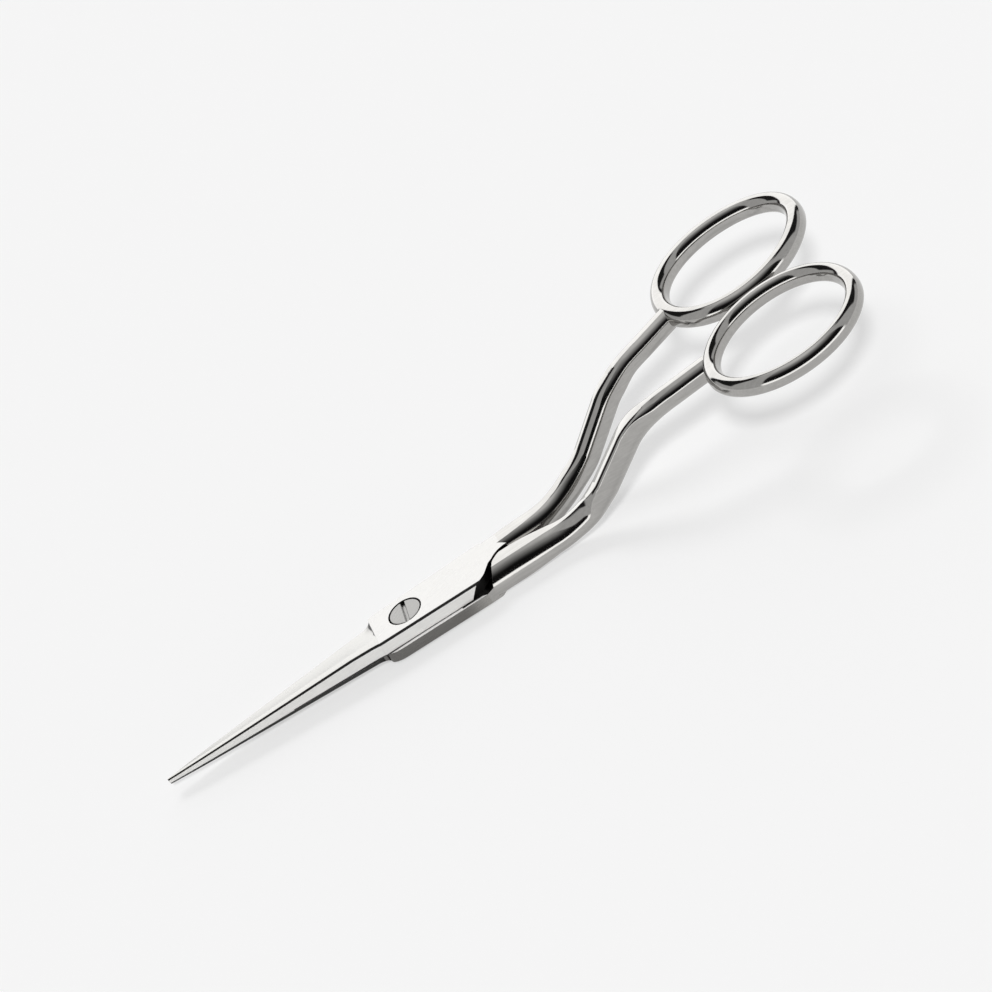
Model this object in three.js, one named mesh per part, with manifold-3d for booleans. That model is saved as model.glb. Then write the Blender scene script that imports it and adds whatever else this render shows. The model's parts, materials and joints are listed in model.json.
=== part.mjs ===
// Embroidery scissors with raised finger bows, closed. Millimetres, Z up.
// While building, the pivot axis is Z, the parting plane of the two halves is z = 0, the tips point to -X
// and the bows to +X. The upper half carries the screw head and the far bow at +Y, the lower half the near
// bow at -Y. At the end everything is moved so that the origin is the bottom centre of the bounding box.
import * as THREE from "three";
import { mergeVertices } from "three/addons/utils/BufferGeometryUtils.js";
import Module from "manifold-3d";

const wasm = await Module();
wasm.setup();

// Joint block and blade
const halfThickness = 2.85; // each half at the joint
const blockFront = -6.9; // where the flat joint face ends towards the blade
const blockRear = 26; // beyond the shoulder, where the plan outline cuts the joint off
const wallTaper = 0.03; // the joint widens towards the shanks
const wallUpperNear = 5.05; // half widths of the joint faces at the pivot
const wallUpperFar = 5.3;
const wallLowerNear = 5.8;
const wallLowerFar = 5.0;
const backChamfer = 0.4;
const farChamfer = { across: 0.4, high: 0.4 };
const nearChamfer = { across: 1.1, high: 0.7 };
const farCorner = { long: 2, deep: 0.4 }; // rounded front corners of the joint block
const nearCorner = { long: 3.2, deep: 1.6 };
const bladeTip = -53.5;
const tipThickness = 0.85;
const thinningStart = 0.13; // fraction of the blade behind which the back keeps its full height
const backAtRoot = 4.62; // distance of the back from the middle line at the root
const backFall = 3.65; // how much closer it comes towards the tip
const backTipCurve = 0.32;
const edgeUpper = 4.91; // distance of the land from the middle line at the root
const edgeLower = 4.3;
const edgeAtTip = 0.5;
const edgeTipCurve = 0.42;
const landAtRoot = 1.1; // height of the steep cutting land
const landAtTip = 0.55;
const landSlope = 0.53; // sideways run of the land per height
const ridgeAtRoot = 1.4; // flat strip between back chamfer and hollow
const ridgeAtTip = 0.5;
const hollowDepth = 0.16;
const runOutLength = 2.3; // curved end of the grinding in front of the joint face
const bladeStations = 26;

// Rear end of each joint block in plan: round the near corner, slope to the shank, oblique on the far side
const shankGapUpper = 0.5; // inner side of the upper half's shank from the middle line
const shankGapLower = 0.0;
const upperEnd = 18.1; // where the outer side of each joint block ends
const lowerEnd = 16.9;
const outerEndSlant = 2.6;
const outerEndInsideY = 5.1;
const outerEndOutsideY = 6.4;
const nearTurnX = 12.2; // round of the near corner
const nearTurnDraft = 1; // how much further forward it lies for each millimetre down
const nearTurnY = 6;
const nearTurnPeak = { x: 14.6, y: 5.6 };
const rearSlopeStart = { x: 16.1, y: 4.1 };
const rearSlopeEnd = { x: 18.6, y: 1.2 };
const rearRootPeakX = 20.1;
const rearRootX = 22.4;
const rearRootStep = { back: 0.8, out: 1 }; // inside the shank, where the outline doesn't show
const planMargin = 20; // plan outlines reach this far beyond the joint
const planCurveSteps = 6;

// Shoulder, where each half grows to its full height around the other half's joint block
const shoulderRootX = 21.4;
const shoulderRootPeak = { x: 18.6, y: 1.4 };
const shoulderMiddle = { x: 18.2, y: 2.5 };
const shoulderPeak = { x: 17.7, y: 4.4 };
const shoulderOuter = { x: 15.7, y: 5.7 };
const shoulderFront = { x: 14.8, y: 12 };

// Shanks
const shankStartX = 14;
const shankStartWidthUpper = 4.9;
const shankStartWidthLower = 5.6;
const shankStartZ = 0.1;
const shankBendX = 23; // end of the straight run behind the shoulder
const footStart = { x: 30, y: 3.9, z: 0.55 }; // low bend of the offset
const footPeak = { x: 36.8, y: 5.5, z: 0.95 };
const footEnd = { x: 43.5, y: 6.6, z: 5.5 };
const crestStart = { x: 52, y: 7.7, z: 12.6 }; // high bend of the offset
const crestPeak = { x: 54.9, y: 8.2, z: 15.0 };
const crestEnd = { x: 58.5, y: 8.8, z: 15.6 };
const shankDrop = 0.65; // the shank's middle line meets the bow's this much lower
// Sections along each shank: width, height, how much the middle rises over the line, and the edge rounds as
// across, high and the angle in the round at which it meets the top facet. The tight one faces +Y.
const rootForm = {
  height: 5.3,
  rise: 0,
  tight: [0.6, 0.6, 0],
  broad: [2.45, 3.5, 0.45],
  under: [1.3, 1.3, 0],
};
const footForm = {
  width: 4.1,
  height: 4.6,
  rise: -0.1,
  tight: [0.85, 1, 0.2],
  broad: [2.33, 3, 0.38],
  under: [1.7, 1.5, 0],
};
// In the offset the upper half's side has a ridge and the lower half's is flat
const upperOffsetForm = {
  width: 4,
  height: 4.65,
  rise: -0.37,
  tight: [0.77, 1.69, 0.2],
  broad: [2.88, 2.05, 0.31],
  under: [1.9, 1.2, 0],
};
const lowerOffsetForm = {
  width: 3.8,
  height: 4.8,
  rise: 0.17,
  tight: [0.8, 0.8, 0.1],
  broad: [0.85, 0.64, 0.39],
  under: [1.8, 2.2, 0],
};
const stemForm = {
  width: 3.9,
  height: 4.45,
  rise: 0,
  tight: [1.3, 1.6, 0.42],
  broad: [1.5, 1.72, 0.6],
  under: [1.85, 2.1, 0],
};
// Where along X one section changes into the next
const rootToFoot = { from: 22, to: 35 };
const footToOffset = { from: 38, to: 41.4 };
const offsetToStem = { from: 54, to: 59.5 };
const shankStations = 44;
const cornerSteps = 5;

// Finger bows
const bowRound = { outer: [1.5, 2.4, 0.2], inner: [1.2, 2.25, 0.3], under: [1.5, 1.2, 0] };
const bowTilt = 0.02; // the bows rise slightly towards their rear
const bowZ = 18.5;
const bowRear = 101.49; // both bows end here
const bowGap = 0.3; // between the bows when the blades are closed
const bowStations = 72;
// Half axes of each hole, turn in plan, egg shape, the angle on the oval where its shank joins, the tube's
// width and height, and the height of its top over the middle line
const farBow = {
  long: 13.45,
  wide: 11.1,
  turn: 0.37,
  egg: -0.07,
  joinAt: 3.05,
  width: 3.45,
  height: 3.8,
  top: 1.78,
};
const nearBow = {
  long: 13.15,
  wide: 11.6,
  turn: 0.2,
  egg: 0.02,
  joinAt: 2.56,
  width: 3.15,
  height: 3.7,
  top: 2.04,
};

// Pivot screw
const screwSides = 64;
const headRadius = 3.2;
const headHeight = 1.3;
const headSunk = 0.05;
const headEdge = 0.12;
const slotWidth = 0.55;
const slotDepth = 0.6;
const slotTurn = 1.48;
const journalRadius = 2.0;
const threadRadius = 1.7;
const screwEndChamfer = 0.25;
const screwEndSunk = 0.1;
const counterboreGap = 0.25;
const journalGap = 0.08;
const threadGap = 0.02;
const cutMargin = 5;

const lerp = THREE.MathUtils.lerp;
const smooth = THREE.MathUtils.smoothstep;
const vertical = new THREE.Vector3(0, 0, 1);
const bowTurn = new THREE.Matrix4().makeRotationY(-bowTilt);
const bowAngles = Array.from({ length: bowStations }, (_, i) => (-2 * Math.PI * i) / bowStations);

function toSolid(geometry) {
  const plain = new THREE.BufferGeometry();
  plain.setAttribute("position", geometry.getAttribute("position"));
  if (geometry.index) plain.setIndex(geometry.index);
  const merged = mergeVertices(plain, 1e-4);
  const vertProperties = merged.attributes.position.array;
  const triVerts = new Uint32Array(merged.index.array);
  return new wasm.Manifold(new wasm.Mesh({ numProp: 3, vertProperties, triVerts }));
}

function toGeometry(solid) {
  const { vertProperties, triVerts } = solid.getMesh();
  const geometry = new THREE.BufferGeometry();
  geometry.setAttribute("position", new THREE.BufferAttribute(vertProperties, 3));
  geometry.setIndex(new THREE.BufferAttribute(triVerts, 1));
  return geometry;
}

// A skin over cross-sections. Each section is a frame and a counterclockwise outline in its side/up plane.
function skin(sections, closed) {
  const count = sections[0].outline.length;
  const positions = [];
  const index = [];
  for (const { at, side, up, outline } of sections)
    for (const p of outline) {
      const v = at.clone().addScaledVector(side, p.x).addScaledVector(up, p.y);
      positions.push(v.x, v.y, v.z);
    }
  const last = closed ? sections.length : sections.length - 1;
  for (let i = 0; i < last; i++)
    for (let j = 0; j < count; j++) {
      const a = i * count + j;
      const b = i * count + ((j + 1) % count);
      const c = ((i + 1) % sections.length) * count + ((j + 1) % count);
      const d = ((i + 1) % sections.length) * count + j;
      index.push(a, b, c, a, c, d);
    }
  if (!closed) {
    const end = (sections.length - 1) * count;
    const front = THREE.ShapeUtils.triangulateShape(sections[0].outline, []);
    const rear = THREE.ShapeUtils.triangulateShape(sections.at(-1).outline, []);
    for (const [a, b, c] of front) index.push(c, b, a);
    for (const [a, b, c] of rear) index.push(end + a, end + b, end + c);
  }
  const geometry = new THREE.BufferGeometry();
  geometry.setAttribute("position", new THREE.Float32BufferAttribute(positions, 3));
  geometry.setIndex(index);
  return geometry;
}

// A box with four elliptic edge rounds, counterclockwise from its +side middle, in steps of equal tilt
function roundedOutline(width, height, corners) {
  const outline = [];
  corners.forEach(([across, high, crease], quarter) => {
    const sx = quarter === 0 || quarter === 3 ? 1 : -1;
    const sy = quarter < 2 ? 1 : -1;
    const a = across / (1 - Math.sin(crease));
    const b = high / Math.cos(crease);
    const firstTilt = Math.atan2(b * Math.sin(crease), a * Math.cos(crease));
    for (let k = 0; k <= cornerSteps; k++) {
      const fromTop = quarter % 2 ? k / cornerSteps : 1 - k / cornerSteps;
      const tilt = lerp(firstTilt, Math.PI / 2, fromTop);
      const angle = Math.atan2(a * Math.sin(tilt), b * Math.cos(tilt));
      const x = width / 2 - a * (1 - Math.sin(angle));
      const y = height / 2 - high + b * Math.cos(angle);
      outline.push(new THREE.Vector2(sx * x, sy * y));
    }
  });
  return outline;
}

// Cross-section of the blade at x: back, cutting edge, land, hollow face, ridge and back chamfer
function bladeOutline(x, edgeAtRoot) {
  const s = (x - blockFront) / (bladeTip - blockFront);
  const thinning = Math.max(0, s - thinningStart) / (1 - thinningStart);
  const thick = lerp(halfThickness, tipThickness, thinning);
  const back = -(backAtRoot - backFall * s - backTipCurve * s ** 5);
  const land = lerp(landAtRoot, landAtTip, s);
  const landTop = lerp(edgeAtRoot, edgeAtTip, s) - edgeTipCurve * s ** 12;
  const chamfer = backChamfer * (1 - 0.4 * s);
  const ridge = back + Math.min(chamfer + lerp(ridgeAtRoot, ridgeAtTip, s), 0.6 * (landTop - back));
  const outline = [new THREE.Vector2(back, 0), new THREE.Vector2(landTop + landSlope * land, 0)];
  outline.push(new THREE.Vector2(landTop, land));
  for (const f of [1 / 3, 2 / 3]) {
    const sag = hollowDepth * (1 - s) * 4 * f * (1 - f);
    outline.push(new THREE.Vector2(lerp(landTop, ridge, f), lerp(land, thick, f) - sag));
  }
  outline.push(new THREE.Vector2(ridge, thick), new THREE.Vector2(back + chamfer, thick));
  outline.push(new THREE.Vector2(back, thick - chamfer));
  return outline;
}

// Cross-section of the joint block at x, with as many points as the blade's
function blockOutline(x, { wallBack, wallEdge, chamfer, corner }) {
  const ahead = Math.min(1, Math.max(0, 1 - (x - blockFront) / corner.long));
  const back = -(wallBack + wallTaper * x);
  const edge = wallEdge + wallTaper * x - corner.deep * (1 - Math.sqrt(1 - ahead ** 2));
  const t = halfThickness;
  return [
    [back, 0],
    [edge, 0],
    [edge, t - chamfer.high],
    [edge - chamfer.across, t],
    [lerp(edge, back, 0.5), t],
    [lerp(edge, back, 0.7), t],
    [back + backChamfer, t],
    [back, t - backChamfer],
  ].map(([y, z]) => new THREE.Vector2(y, z));
}

// Blade and joint block in one, from the tip to behind the shoulder. The grinding runs out in a curve.
function bladeAndBlock(form) {
  const side = new THREE.Vector3(0, 1, 0);
  const up = new THREE.Vector3(0, 0, 1);
  const sections = [];
  const add = (x, outline) => sections.push({ at: new THREE.Vector3(x, 0, 0), side, up, outline });
  const groundEnd = blockFront - runOutLength;
  for (let i = 0; i <= bladeStations; i++) {
    const x = lerp(bladeTip, groundEnd, 1 - (1 - i / bladeStations) ** 1.25);
    add(x, bladeOutline(x, form.edgeAtRoot));
  }
  for (const f of [0.35, 0.6, 0.8, 0.93, 1]) {
    const x = groundEnd + runOutLength * f;
    const blend = 1 - Math.sqrt(1 - f * f);
    const block = blockOutline(x, form);
    add(x, bladeOutline(x, form.edgeAtRoot).map((p, i) => p.lerp(block[i], blend)));
  }
  for (const f of [0.15, 0.4, 0.7, 1]) {
    const x = blockFront + form.corner.long * f;
    add(x, blockOutline(x, form));
  }
  add(blockRear, blockOutline(blockRear, form));
  return toSolid(skin(sections, false));
}

// Plan outline that ends the joint block: round near corner, slope to the shank, oblique far end
function blockEndPlan(inner, outerEnd, forward) {
  const plan = new THREE.Shape();
  plan.moveTo(2 * bladeTip, -planMargin);
  plan.lineTo(nearTurnX - forward, -planMargin);
  plan.lineTo(nearTurnX - forward, -nearTurnY);
  const slopeX = rearSlopeStart.x - forward / 2;
  plan.quadraticCurveTo(nearTurnPeak.x - forward, -nearTurnPeak.y, slopeX, -rearSlopeStart.y);
  plan.lineTo(rearSlopeEnd.x, -rearSlopeEnd.y);
  plan.quadraticCurveTo(rearRootPeakX, inner, rearRootX, inner);
  plan.lineTo(rearRootX - rearRootStep.back, inner + rearRootStep.out);
  plan.lineTo(outerEnd, outerEndInsideY);
  plan.lineTo(outerEnd - outerEndSlant, outerEndOutsideY);
  plan.lineTo(outerEnd - outerEndSlant, planMargin);
  plan.lineTo(2 * bladeTip, planMargin);
  return plan.getPoints(planCurveSteps);
}

// The joint block's end, with its near corner drawn forward towards the parting plane
function blockEnd(inner, outerEnd) {
  const [side, up] = [new THREE.Vector3(1, 0, 0), new THREE.Vector3(0, 1, 0)];
  const sections = [-1, halfThickness + 1].map((z) => {
    const outline = blockEndPlan(inner, outerEnd, nearTurnDraft * (halfThickness - z));
    return { at: new THREE.Vector3(0, 0, z), side, up, outline };
  });
  return toSolid(skin(sections, false));
}

// Room for the other half's joint block, cut from the shank's start beyond the parting plane
function shoulderRoom(inner) {
  const plan = new THREE.Shape();
  plan.moveTo(-planMargin, -inner - 1);
  plan.lineTo(shoulderRootX, -inner - 1);
  plan.lineTo(shoulderRootX, inner);
  plan.quadraticCurveTo(shoulderRootPeak.x, shoulderRootPeak.y, shoulderMiddle.x, shoulderMiddle.y);
  plan.quadraticCurveTo(shoulderPeak.x, shoulderPeak.y, shoulderOuter.x, shoulderOuter.y);
  plan.lineTo(shoulderFront.x, shoulderFront.y);
  plan.lineTo(-planMargin, shoulderFront.y);
  const steps = { depth: cutMargin, bevelEnabled: false, curveSegments: planCurveSteps };
  return toSolid(new THREE.ExtrudeGeometry(plan, steps).translate(0, 0, -cutMargin));
}

// Centre line of a shank: level, up through the two bends of the offset, and on to the bow
function shankPath(sign, startY, oval) {
  const at = ({ x, y, z }) => new THREE.Vector3(x, sign * y, z);
  const begin = at({ x: shankStartX, y: startY, z: shankStartZ });
  const level = at({ x: shankBendX, y: startY, z: shankStartZ });
  const path = new THREE.CurvePath();
  path.add(new THREE.QuadraticBezierCurve3(begin, level, at(footStart)));
  path.add(new THREE.QuadraticBezierCurve3(at(footStart), at(footPeak), at(footEnd)));
  path.add(new THREE.LineCurve3(at(footEnd), at(crestStart)));
  path.add(new THREE.QuadraticBezierCurve3(at(crestStart), at(crestPeak), at(crestEnd)));
  const end = bowLine(sign, oval)(oval.joinAt);
  path.add(new THREE.LineCurve3(at(crestEnd), end.setZ(end.z - shankDrop)));
  return path;
}

// Shank with a flat top facet
function shank(sign, startY, startWidth, oval) {
  const path = shankPath(sign, startY, oval);
  const stretches = [
    { form: { ...rootForm, width: startWidth } },
    { form: footForm, change: rootToFoot },
    { form: sign > 0 ? upperOffsetForm : lowerOffsetForm, change: footToOffset },
    { form: stemForm, change: offsetToStem },
  ];
  const sections = [];
  for (let i = 0; i <= shankStations; i++) {
    const f = i / shankStations;
    const at = path.getPointAt(f);
    const along = path.getTangentAt(f);
    const side = new THREE.Vector3().crossVectors(vertical, along).normalize();
    const up = new THREE.Vector3().crossVectors(along, side);
    let { width, height, rise, tight, broad, under } = stretches[0].form;
    for (const { form, change } of stretches.slice(1)) {
      const f = smooth(at.x, change.from, change.to);
      const mixed = (from, to) => from.map((size, k) => lerp(size, to[k], f));
      [width, height, rise] = mixed([width, height, rise], [form.width, form.height, form.rise]);
      tight = mixed(tight, form.tight);
      broad = mixed(broad, form.broad);
      under = mixed(under, form.under);
    }
    at.addScaledVector(up, rise);
    const corners = [tight, broad, under, under];
    sections.push({ at, side, up, outline: roundedOutline(width, height, corners) });
  }
  return toSolid(skin(sections, false));
}

// Middle line of a bow's tube: an oval that ends at the common rear and keeps clear of the other bow
function bowLine(sign, { long, wide, turn, egg, width }) {
  const middle = width / 2;
  const level = (angle) => {
    const x = (long + middle) * Math.cos(angle);
    const y = (wide + middle) * (1 + egg * Math.cos(angle)) * Math.sin(angle);
    return new THREE.Vector3(x, y, 0).applyAxisAngle(vertical, turn);
  };
  const size = new THREE.Box3().setFromPoints(bowAngles.map(level));
  const reach = sign > 0 ? -size.min.y : size.max.y;
  const x = bowRear - middle - size.max.x;
  const y = sign * (bowGap / 2 + middle + reach);
  return (angle) => level(angle).applyMatrix4(bowTurn).add(new THREE.Vector3(x, y, bowZ));
}

// Oval finger bow with a narrow flat top facet
function bow(sign, oval) {
  const rounds = [bowRound.outer, bowRound.inner, bowRound.under, bowRound.under];
  const outline = roundedOutline(oval.width, oval.height, rounds);
  const point = bowLine(sign, oval);
  const up = vertical.clone().transformDirection(bowTurn);
  const sections = [];
  for (const angle of bowAngles) {
    const along = point(angle - 1e-3).sub(point(angle + 1e-3)).normalize();
    const side = new THREE.Vector3().crossVectors(up, along).normalize();
    const at = point(angle).addScaledVector(up, oval.top - oval.height / 2);
    sections.push({ at, side, up, outline });
  }
  return toSolid(skin(sections, true));
}

// A turned piece about the pivot axis from radius and height pairs, closed on the axis
function turned(profile) {
  const points = profile.map(([r, z]) => new THREE.Vector2(r, z));
  return toSolid(new THREE.LatheGeometry(points, screwSides).rotateX(Math.PI / 2));
}

function drill(radius, from, to) {
  return turned([
    [0, from],
    [radius, from],
    [radius, to],
    [0, to],
  ]);
}

function turnOver(solid) {
  return solid.rotate([180, 0, 0]);
}

function upperHalf() {
  const walls = { wallBack: wallUpperNear, wallEdge: wallUpperFar };
  const form = { ...walls, chamfer: farChamfer, corner: farCorner, edgeAtRoot: edgeUpper };
  const front = bladeAndBlock(form).intersect(blockEnd(shankGapUpper, upperEnd));
  const startY = shankGapUpper + shankStartWidthUpper / 2;
  const stem = shank(1, startY, shankStartWidthUpper, farBow).subtract(shoulderRoom(shankGapUpper));
  const seat = halfThickness - headSunk - headHeight;
  const counterbore = drill(headRadius + counterboreGap, seat, cutMargin);
  const bore = drill(journalRadius + journalGap, -1, cutMargin);
  return front.add(stem).add(bow(1, farBow)).subtract(counterbore).subtract(bore);
}

function lowerHalf() {
  const walls = { wallBack: wallLowerFar, wallEdge: wallLowerNear };
  const form = { ...walls, chamfer: nearChamfer, corner: nearCorner, edgeAtRoot: edgeLower };
  const front = bladeAndBlock(form).intersect(blockEnd(shankGapLower, lowerEnd));
  const startY = shankGapLower + shankStartWidthLower / 2;
  const room = turnOver(shoulderRoom(shankGapLower));
  const stem = shank(-1, startY, shankStartWidthLower, nearBow).subtract(room);
  const hole = drill(threadRadius + threadGap, -cutMargin, 1);
  return turnOver(front).add(stem).add(bow(-1, nearBow)).subtract(hole);
}

// Slotted shoulder screw: head in the counterbore, journal through the upper half, end in the lower half
function pivotScrew() {
  const top = halfThickness - headSunk;
  const end = -halfThickness + screwEndSunk;
  const body = turned([
    [0, end],
    [threadRadius - screwEndChamfer, end],
    [threadRadius, end + screwEndChamfer],
    [threadRadius, 0],
    [journalRadius, 0],
    [journalRadius, top - headHeight],
    [headRadius, top - headHeight],
    [headRadius, top - headEdge],
    [headRadius - headEdge, top],
    [0, top],
  ]);
  const slot = new THREE.BoxGeometry(3 * headRadius, slotWidth, 2 * slotDepth).rotateZ(slotTurn);
  return body.subtract(toSolid(slot.translate(0, 0, top)));
}

const nickel = { color: 0xd8d8d4, roughness: 0.12, metalness: 1 };
const screwSteel = { color: 0xc9c9c4, roughness: 0.3, metalness: 1 };

const scissors = new THREE.Group();
scissors.name = "embroidery_scissors";

function addPiece(name, solid, look) {
  const mesh = new THREE.Mesh(toGeometry(solid), new THREE.MeshStandardMaterial(look));
  mesh.name = name;
  scissors.add(mesh);
}

addPiece("upper_half", upperHalf(), nickel);
addPiece("lower_half", lowerHalf(), nickel);
addPiece("pivot_screw", pivotScrew(), screwSteel);

const bounds = new THREE.Box3().setFromObject(scissors);
const middle = bounds.getCenter(new THREE.Vector3());
for (const piece of scissors.children) piece.geometry.translate(-middle.x, -middle.y, -bounds.min.z);

export default scissors;
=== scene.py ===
import json
import math

import bpy
import numpy as np
from mathutils import Matrix, Vector


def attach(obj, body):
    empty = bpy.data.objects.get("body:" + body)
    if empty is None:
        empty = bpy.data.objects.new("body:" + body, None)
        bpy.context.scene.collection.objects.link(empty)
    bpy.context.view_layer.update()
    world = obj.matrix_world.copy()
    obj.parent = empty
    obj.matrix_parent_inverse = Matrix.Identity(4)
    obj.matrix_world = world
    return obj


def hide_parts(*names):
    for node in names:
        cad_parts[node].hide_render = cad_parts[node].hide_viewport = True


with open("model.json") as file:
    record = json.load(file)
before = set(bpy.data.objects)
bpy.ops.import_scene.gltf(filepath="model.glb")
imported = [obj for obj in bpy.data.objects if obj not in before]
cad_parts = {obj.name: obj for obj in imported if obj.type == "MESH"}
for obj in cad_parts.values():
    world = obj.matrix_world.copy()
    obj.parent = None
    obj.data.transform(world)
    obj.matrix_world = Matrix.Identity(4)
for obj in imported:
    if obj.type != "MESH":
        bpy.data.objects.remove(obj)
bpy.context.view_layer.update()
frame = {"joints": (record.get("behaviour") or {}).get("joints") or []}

METRES_PER_MM = 0.001
PIVOT = Vector(frame["joints"][0]["pos_m"])
SHARP_ANGLE = math.radians(24)

# Joint block and blade
HALF_THICKNESS = 2.85
BLOCK_FRONT = -6.9
BLOCK_REAR = 26
WALL_TAPER = 0.03
WALL_UPPER_NEAR, WALL_UPPER_FAR = 5.05, 5.3
WALL_LOWER_NEAR, WALL_LOWER_FAR = 5.8, 5.0
BACK_CHAMFER = 0.38
FAR_CHAMFER = {"across": 0.4, "high": 0.4}
NEAR_CHAMFER = {"across": 1.1, "high": 0.7}
FAR_CORNER = {"long": 2, "deep": 0.4}
NEAR_CORNER = {"long": 3.2, "deep": 1.6}
BLADE_TIP = -53.5
TIP_THICKNESS = 0.85
THINNING_START = 0.13
BACK_AT_ROOT, BACK_FALL, BACK_TIP_CURVE = 4.62, 3.65, 0.32
EDGE_UPPER, EDGE_LOWER, EDGE_AT_TIP, EDGE_TIP_CURVE = 4.91, 4.3, 0.5, 0.42
BACK_TIP_POWER, EDGE_TIP_POWER = 5, 12
LAND_AT_ROOT, LAND_AT_TIP, LAND_SLOPE = 1.1, 0.55, 0.53
RIDGE_AT_ROOT, RIDGE_AT_TIP = 1.4, 0.5
CHAMFER_FALL, RIDGE_LIMIT = 0.4, 0.6
HOLLOW_DEPTH = 0.08
RUN_OUT_LENGTH = 2.3
# Height of the seam line above the parting plane, as a share of the back chamfer
SEAM_SHARE = 0.55
# The blade's stations lie closer together towards its root
BLADE_STATIONS, STATION_POWER = 90, 1.25
RUN_OUT_STATIONS = 20
CORNER_STATIONS = 16
HOLLOW_POINTS = 11
# Points of the block's flat face, as shares of the way from the edge to the back
FACE_POINTS = (0.5, 0.7)

# Rear ends of the joint blocks in plan, and the shoulders
SHANK_GAP_UPPER, SHANK_GAP_LOWER = 0.5, 0.0
UPPER_END, LOWER_END = 18.1, 16.9
OUTER_END_SLANT = 2.6
OUTER_END_INSIDE_Y, OUTER_END_OUTSIDE_Y = 5.1, 6.4
NEAR_TURN = (12.2, 6)
NEAR_TURN_DRAFT = 1.0
NEAR_TURN_PEAK = (14.6, 5.6)
REAR_SLOPE_START, REAR_SLOPE_END = (16.1, 4.1), (18.6, 1.2)
REAR_ROOT_PEAK_X, REAR_ROOT_X = 20.1, 22.4
REAR_ROOT_BACK, REAR_ROOT_OUT = 0.8, 1
SHOULDER_ROOT_X = 21.4
SHOULDER_ROOT_PEAK, SHOULDER_MIDDLE = (18.6, 1.4), (18.2, 2.5)
SHOULDER_PEAK, SHOULDER_OUTER, SHOULDER_FRONT = (17.7, 4.4), (15.7, 5.7), (14.8, 12)
CURVE_STEPS = 24
# How far the plans reach sideways and ahead, well past the joint blocks and the blades
PLAN_MARGIN, PLAN_FRONT = 20, 2 * BLADE_TIP
# How far a cutting body reaches past what it cuts, and past a face that it only has to pass
CUT_MARGIN, CUT_OVERLAP = 5, 1

# Shanks
SHANK_START_X, SHANK_START_Z = 14, 0.1
SHANK_START_WIDTH_UPPER, SHANK_START_WIDTH_LOWER = 4.9, 5.6
SHANK_BEND_X = 23
FOOT_START, FOOT_PEAK, FOOT_END = (30, 3.9, 0.55), (36.8, 5.5, 0.95), (43.5, 6.6, 5.5)
CREST_START, CREST_PEAK, CREST_END = (51.3, 7.6, 12.0), (55.1, 8.2, 15.17), (62.5, 9.4, 16.25)
SHANK_DROP = 0.65
# Sections along each shank: width, height, rise of the middle, and edge rounds as across, high and the angle
# in the round at which it meets the top facet. The tight one faces +Y.
UPPER_ROOT_FORM = {"width": SHANK_START_WIDTH_UPPER, "height": 5.3, "rise": 0}
UPPER_ROOT_FORM.update(tight=(0.6, 0.6, 0), broad=(1.65, 4.2, 0.5), under=(1.3, 1, 0))
LOWER_ROOT_FORM = {**UPPER_ROOT_FORM, "width": SHANK_START_WIDTH_LOWER, "broad": (2.2, 4.2, 0.55)}
UPPER_FOOT_FORM = {"width": 4.1, "height": 4.6, "rise": -0.1}
UPPER_FOOT_FORM.update(tight=(0.85, 1, 0.2), broad=(1.85, 3, 0.3), under=(1.7, 1.4, 0))
LOWER_FOOT_FORM = {**UPPER_FOOT_FORM, "broad": (2.35, 3.15, 0.62)}
# In the offset the upper half's side has a ridge and the lower half's is flat
UPPER_OFFSET_FORM = {"width": 4, "height": 4.65, "rise": -0.37}
UPPER_OFFSET_FORM.update(tight=(0.77, 1.69, 0.2), broad=(1.85, 2.15, 0.31), under=(1.9, 1.2, 0))
LOWER_OFFSET_FORM = {"width": 3.8, "height": 4.8, "rise": 0.17}
LOWER_OFFSET_FORM.update(tight=(0.8, 0.8, 0.1), broad=(0.95, 0.72, 0.3), under=(1.8, 2.2, 0))
STEM_FORM = {"width": 3.9, "height": 4.45, "rise": 0}
STEM_FORM.update(tight=(1.3, 1.6, 0.42), broad=(1.5, 1.92, 0.6), under=(1.85, 2.1, 0))
UPPER_FORMS = [UPPER_ROOT_FORM, UPPER_FOOT_FORM, UPPER_OFFSET_FORM, STEM_FORM]
LOWER_FORMS = [LOWER_ROOT_FORM, LOWER_FOOT_FORM, LOWER_OFFSET_FORM, STEM_FORM]
# Where along X one section changes into the next
ROOT_TO_FOOT, FOOT_TO_OFFSET, OFFSET_TO_STEM = (22, 35), (38, 43), (54, 59.5)
# Stations spaced evenly along a shank, and the points worked out before along each piece of its line
SHANK_STATIONS, LINE_STEPS = 200, 200
CORNER_STEPS = 10

# Finger bows
BOW_ROUND = {"outer": (1.5, 2.4, 0.2), "inner": (1.2, 2.25, 0.3), "under": (1.5, 1.2, 0)}
BOW_TILT, BOW_Z, BOW_REAR, BOW_GAP = 0.02, 18.5, 101.49, 0.3
BOW_STATIONS, BOW_ANGLE_STEP = 240, 1e-3
FAR_BOW = {"long": 13.45, "wide": 11.1, "turn": 0.37, "egg": -0.07, "join_at": 3.05}
FAR_BOW.update(width=3.45, height=3.8, top=1.78)
NEAR_BOW = {"long": 13.15, "wide": 11.6, "turn": 0.2, "egg": 0.02, "join_at": 2.56}
NEAR_BOW.update(width=3.15, height=3.7, top=2.04)

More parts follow.
